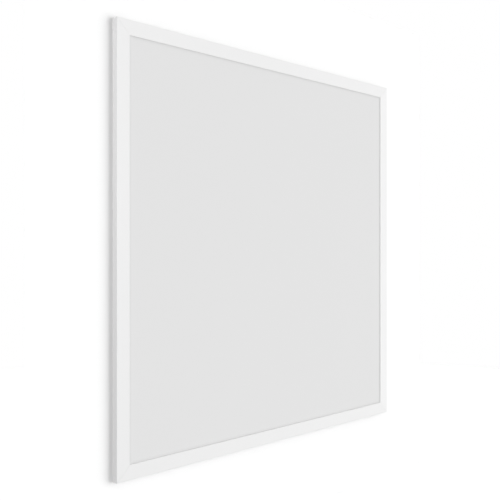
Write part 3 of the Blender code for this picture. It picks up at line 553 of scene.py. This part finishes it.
# Transformer: a pair of ferrite cores round a coil that is wrapped in polyester tape. Ferrite is a dark
# ceramic with a fine speckle, and the tape's overlaps show as bands.

ferrite = new_finish("ferrite_ceramic")
speckle = ferrite.noise(0.5 * MM, detail=3.0)
ferrite.drive(
    base_color=ferrite.mix(speckle, (0.045, 0.045, 0.05), (0.085, 0.085, 0.09)),
    roughness=0.5 + 0.2 * speckle,
    normal=ferrite.bump(speckle, 0.02 * MM),
)
softened("transformer_core", 0.3 * MM, "panel", "ferrite", ferrite)

tape_width = 4.0 * MM
tape_ramp = 0.25 * MM
coil_tape = new_finish("coil_tape", coat_weight=0.3)
(y,) = coil_tape.axes("Y")
overlap = y.from_centre(tape_width).rise(0.0, tape_ramp)
coil_tape.drive(
    base_color=coil_tape.mix(overlap, (0.5, 0.38, 0.05), (0.74, 0.6, 0.11)),
    roughness=0.22 + 0.15 * coil_tape.noise(3 * MM),
    normal=coil_tape.bump(overlap, 0.06 * MM),
)
dress(coil_tape, "transformer_coil")


# Capacitors: the bulk and output capacitors are aluminium cans in a shrunk sleeve, open at one end to
# show the scored can. The film capacitor is a moulded box.

sleeve_end = 1.0 * MM
stripe_half_width = 1.6 * MM
score_half_width = 0.2 * MM
for can, axis in (("bulk_capacitor", 0), ("output_capacitor", 1)):
    low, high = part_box(can)
    sleeve = new_finish(f"{can}_sleeve")
    place = sleeve.axes()
    middle = (low + high) / 2
    far = place[axis] > high[axis] - sleeve_end
    stripe = abs(place[2] - middle.z) < stripe_half_width
    score_one = abs(place[2] - middle.z) < score_half_width
    score_two = abs(place[1 - axis] - middle[1 - axis]) < score_half_width
    score = far * score_one.most(score_two)
    shrunk = sleeve.mix(stripe, (0.02, 0.025, 0.06), (0.35, 0.37, 0.42))
    sleeve.drive(
        base_color=sleeve.mix(far, shrunk, (0.75, 0.75, 0.76)),
        metallic=1.0 * far,
        roughness=0.25 + 0.15 * sleeve.noise(2 * MM),
        normal=sleeve.bump(1.0 - score, 0.15 * MM),
    )
    dress(sleeve, can)

box_resin = new_finish("film_capacitor_box")
flowed = box_resin.noise(1.2 * MM, detail=3.0)
box_resin.drive(
    base_color=box_resin.mix(flowed, (0.55, 0.45, 0.09), (0.62, 0.52, 0.12)),
    roughness=0.32 + 0.2 * flowed,
    normal=box_resin.bump(flowed, 0.02 * MM),
)
dress(box_resin, "film_capacitor")


# Choke: enamelled copper wire wound round a ferrite ring. The wire is one length, and its turns lie
# closer together on the inside of the ring than on the outside.

choke_turns = 26
turn_knots = 14
wire_knots = choke_turns * turn_knots
wound_share = 0.93
wire_radius = 0.32 * MM
wire_stand_off = 1.1 * wire_radius
low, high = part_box("choke")
choke_centre = (low + high) / 2
choke_tube = (high.y - low.y) / 2
choke_ring = (high.x - low.x) / 2 - choke_tube
lay_radius = choke_tube - wire_radius
wire = bpy.data.curves.new("choke_wire", "CURVE")
wire.dimensions = "3D"
wire.bevel_depth = wire_radius
wire.bevel_resolution = 2
wire.use_fill_caps = True
spline = wire.splines.new("POLY")
spline.points.add(wire_knots - 1)
for step, knot in enumerate(spline.points):
    wound = math.tau * step / turn_knots
    round_ring = math.tau * wound_share * step / wire_knots
    reach = choke_ring + lay_radius * math.cos(wound)
    offset = (reach * math.cos(round_ring), lay_radius * math.sin(wound), reach * math.sin(round_ring))
    knot.co = (*(choke_centre + Vector(offset)), 1.0)
holder = bpy.data.objects.new("choke_wire", wire)
bpy.context.scene.collection.objects.link(holder)
evaluated = holder.evaluated_get(bpy.context.evaluated_depsgraph_get())
wound_mesh = bpy.data.meshes.new_from_object(evaluated)
bpy.data.objects.remove(holder)
bm = bmesh.new()
bm.from_mesh(wound_mesh)
bmesh.ops.remove_doubles(bm, verts=bm.verts[:], dist=weld_distance)
wire_faces = set(bm.faces)
section = bmesh.ops.create_circle(
    bm,
    segments=16,
    radius=lay_radius - wire_stand_off,
    matrix=Matrix.Translation(choke_centre + Vector((choke_ring, 0.0, 0.0))),
)
loop = list({edge for corner in section["verts"] for edge in corner.link_edges})
bmesh.ops.spin(
    bm,
    geom=section["verts"] + loop,
    cent=choke_centre,
    axis=(0, 1, 0),
    angle=math.tau,
    steps=40,
    use_merge=True,
)
bmesh.ops.recalc_face_normals(bm, faces=bm.faces[:])
for face in bm.faces:
    face.material_index = 0 if face in wire_faces else 1

enamel = new_finish("enamelled_copper", metallic=1.0, coat_weight=0.4)
tarnish = enamel.noise(3 * MM, detail=3.0)
enamel.drive(
    base_color=enamel.mix(tarnish, (0.6, 0.24, 0.1), (0.76, 0.36, 0.17)),
    roughness=0.25 + 0.15 * tarnish,
)
add_piece("choke_wound", bm, "panel", "choke_wire", ["choke"], enamel, ferrite)


# Terminal block: a grey nylon push-in block. A bared wire goes into each round hole, and a spring inside
# grips it until the button above is pressed.

nylon = new_finish("grey_nylon")
fleck = nylon.noise(0.7 * MM, detail=3.0)
nylon.drive(
    base_color=nylon.mix(fleck, (0.42, 0.43, 0.44), (0.47, 0.48, 0.49)),
    roughness=0.38 + 0.15 * fleck,
    normal=nylon.bump(fleck, 0.01 * MM),
)
softened("terminal_block", 0.25 * MM, "panel", "block_plastic", nylon)


# Release buttons: three orange nylon plungers in the block's pockets. Each has a shallow slot in its top
# for the tip of a screwdriver.

slot_margin = 0.8 * MM
slot_depth = 0.5 * MM
slot_taper = slot_depth / 4
orange = new_finish("orange_nylon")
fleck = orange.noise(0.7 * MM, detail=3.0)
orange.drive(
    base_color=orange.mix(fleck, (0.76, 0.26, 0.035), (0.83, 0.31, 0.05)),
    roughness=0.36 + 0.15 * fleck,
    normal=orange.bump(fleck, 0.01 * MM),
)


def cut_slot(bm):
    top = max(bm.faces, key=lambda face: face.calc_area() * max(0.0, face.normal.y))
    bmesh.ops.inset_individual(bm, faces=[top], thickness=slot_margin, use_even_offset=True)
    bmesh.ops.inset_individual(
        bm, faces=[top], thickness=slot_taper, depth=-slot_depth, use_even_offset=True
    )


for number in (1, 2, 3):
    name = f"release_button_{number}"
    softened(name, 0.1 * MM, name, "button_plastic", orange, shape=cut_slot)


# Case cover and terminal lid: the upper half of the driver case, in the same plastic as the tray. The
# lid swings up on two stubs to show the terminals.

softened("case_cover", 0.25 * MM, "panel", "case_plastic", plastic, least_edge=2 * MM)
softened("terminal_lid", 0.25 * MM, "terminal_lid", "case_plastic", plastic, least_edge=2 * MM)


# Rubber: the cable entry in the case's end wall and the grommet that the leads pass through. Both are
# turned rings with rounded lips, in black rubber with a dull bloom.

rubber = new_finish("black_rubber")
bloom = rubber.noise(2.5 * MM, detail=4.0)
rubber.drive(
    base_color=rubber.mix(bloom, (0.018, 0.018, 0.018), (0.045, 0.045, 0.046)),
    roughness=0.6 + 0.2 * bloom,
    normal=rubber.bump(rubber.noise(0.4 * MM), 0.01 * MM),
)
softened("cable_entry", 0.35 * MM, "panel", "black_rubber", rubber)
softened("lead_grommet", 0.2 * MM, "panel", "black_rubber", rubber)


# Stage: a white wall that the panel lies against and a white floor below it. They take the panel's
# shadow, and throw no light back on it. Light comes evenly from all round, from a soft key at the right and
# from a lift at the lower left. Other lamps set the level of the top, the back, the stage and the rails.

wall_reach = 420 * MM
wall_gap = 0.2 * MM
wall_lap = 6 * MM
floor_height = -620 * MM
floor_reach = 3.0
panel_half = cad_box[1].x
wall_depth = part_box("top_rail")[1].y + wall_gap
paint = new_finish("white_stage", base_color=(0.905, 0.905, 0.905), roughness=0.9, specular_ior_level=0.0)
paint.drive(alpha=1.0 - paint.node("ShaderNodeNewGeometry", output="Backfacing"))


def add_stage(name, bm):
    made = add_mesh(name, bm, paint)
    made.visible_diffuse = False
    made.visible_glossy = False
    made.visible_shadow = False
    return made


bm = bmesh.new()
bmesh.ops.create_grid(bm, x_segments=1, y_segments=1, size=wall_reach)
wall_width = wall_reach - panel_half + wall_lap
bmesh.ops.inset_individual(bm, faces=bm.faces[:], thickness=wall_width, use_even_offset=True)
opening = [face for face in bm.faces if face.calc_center_median().length < panel_half / 2]
bmesh.ops.delete(bm, geom=opening, context="FACES")
upright = Matrix.Translation((0.0, wall_depth, 0.0)) @ Matrix.Rotation(math.pi / 2, 4, "X")
bmesh.ops.transform(bm, matrix=upright, verts=bm.verts[:])
wall = add_stage("wall", bm)

bm = bmesh.new()
level = Matrix.Translation((0.0, 0.0, floor_height))
bmesh.ops.create_circle(bm, cap_ends=True, segments=64, radius=floor_reach, matrix=level)
floor = add_stage("floor", bm)

fill_level = 0.4
studio = Finish(bpy.data.worlds.new("studio"), "Background", color=(1.0, 1.0, 1.0))
ray_kinds = ("Camera", "Glossy", "Transmission")
rays = [studio.node("ShaderNodeLightPath", output=f"Is {kind} Ray") for kind in ray_kinds]
seen = rays[0].most(rays[1]).most(rays[2])
studio.drive(strength=fill_level + (1.0 - fill_level) * seen)
bpy.context.scene.world = studio.owner


def set_lamp(name, lamp, towards, lit=(), unlit=()):
    """Aims a lamp. It lights only what is named as lit, or all but what is named as unlit."""
    made = bpy.data.objects.new(name, lamp)
    made.rotation_euler = Vector(towards).to_track_quat("-Z", "Y").to_euler()
    bpy.context.scene.collection.objects.link(made)
    if lit or unlit:
        named = bpy.data.collections.new(name)
        for piece in (*lit, *unlit):
            named.objects.link(piece)
        for entry in named.collection_objects:
            entry.light_linking.link_state = "INCLUDE" if lit else "EXCLUDE"
        made.light_linking.receiver_collection = named
    return made


def add_sun(name, strength, spread, towards, lit=(), unlit=()):
    lamp = bpy.data.lights.new(name, "SUN")
    lamp.energy = strength
    lamp.angle = math.radians(spread)
    set_lamp(name, lamp, towards, lit, unlit)


from_right = (-0.78, 0.62, 0.0)
add_sun("key", strength=1.05, spread=60, towards=from_right)
from_low_left = (0.46, 0.82, 0.17)
add_sun("lift", strength=1.175, spread=50, towards=from_low_left, unlit=[wall, floor])
add_sun("right_lift", strength=0.12, spread=50, towards=from_low_left, lit=[nodes["right_rail"]])
add_sun("top", strength=0.6, spread=60, towards=(0.0, 0.15, -1.0))
add_sun("back", strength=1.9, spread=30, towards=(0.0, -0.9, -0.42))
add_sun("wall_key", strength=1.88, spread=60, towards=from_right, lit=[wall])
add_sun("wall_rise", strength=0.75, spread=50, towards=(0.0, 0.35, 0.94), lit=[wall])
add_sun("stage_left", strength=0.75, spread=40, towards=(0.95, 0.12, -0.25), lit=[wall, floor])
add_sun("floor_fill", strength=0.9, spread=60, towards=(0.0, 0.0, -1.0), lit=[floor])
side_lamp = bpy.data.lights.new("side", "AREA")
side_lamp.energy = 0.5
side_lamp.size = 0.25
rails = [nodes[name] for name in rail_names]
side = set_lamp("side", side_lamp, towards=(0.45, 0.1, -0.15), lit=rails)
side.location = (-0.75, -0.1, 0.2)

camera = bpy.data.objects.new("camera", bpy.data.cameras.new("camera"))
camera.data.lens = 53.59
camera.location = (-0.84731, -0.78929, 0.0)
camera.rotation_euler = (math.pi / 2, 0.0, -math.radians(45.0))
bpy.context.scene.collection.objects.link(camera)
bpy.context.scene.camera = camera
bpy.context.scene.view_settings.view_transform = "Standard"
